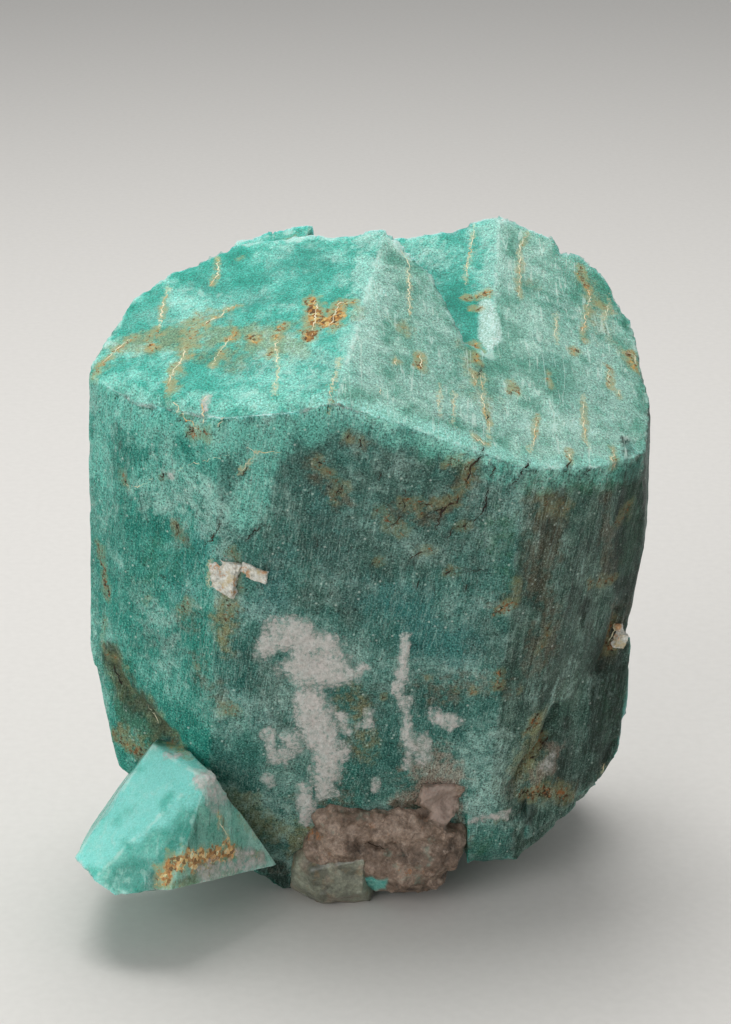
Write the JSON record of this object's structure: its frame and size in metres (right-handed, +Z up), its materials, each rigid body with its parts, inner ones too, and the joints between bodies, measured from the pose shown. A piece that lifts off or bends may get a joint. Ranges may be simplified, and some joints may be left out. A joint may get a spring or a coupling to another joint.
{
  "type": "rough amazonite specimen",
  "caption": "Rough amazonite: blue-green blocky feldspar crystals grown together on a lump of pinkish matrix, for display or study; rests on a small flat spot.",
  "frame": {"origin": "middle of the small flat spot that the specimen rests on", "axes": "+Z up as it stands, -Y towards the front with the large faces, +X to the right"},
  "size_m": [0.08, 0.0635, 0.0911],
  "materials": {
    "amazonite": "rough natural faces with a satin to glassy lustre, iron stains, white albite crust and pinkish matrix"
  },
  "bodies": {
    "root": {"rough_amazonite": "amazonite"}
  },
  "joints": []
}
